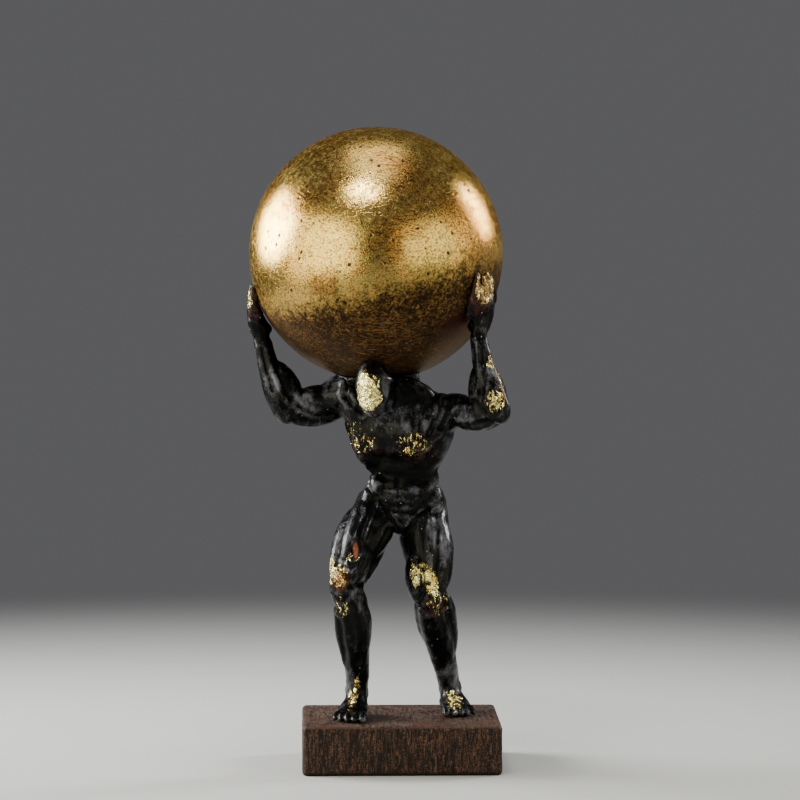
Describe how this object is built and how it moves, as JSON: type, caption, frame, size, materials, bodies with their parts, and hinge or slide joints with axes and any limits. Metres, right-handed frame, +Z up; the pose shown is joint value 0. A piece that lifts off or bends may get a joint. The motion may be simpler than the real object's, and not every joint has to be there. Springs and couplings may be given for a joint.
{
  "type": "strongman statue with ball",
  "caption": "Table statue of a bowed muscular strongman who carries a large gilded ball on his nape and hands, on a low oblong plinth.",
  "frame": {"origin": "centre of the plinth's underside", "axes": "+Z up, the plinth's front and the figure's chest face -Y, +X is the figure's left side"},
  "size_m": [0.131, 0.127, 0.32],
  "materials": {
    "stained_grain": "cast resin with a vertical wood-like grain, stained dark red-brown",
    "black_patina": "cast resin, semi-gloss black, dry-brushed blue-grey, with patches of gold leaf",
    "gold_leaf": "cast resin under rubbed gold leaf with a brown antique patina"
  },
  "bodies": {
    "root": {"plinth": "stained_grain", "figure": "black_patina", "ball": "gold_leaf"}
  },
  "joints": []
}
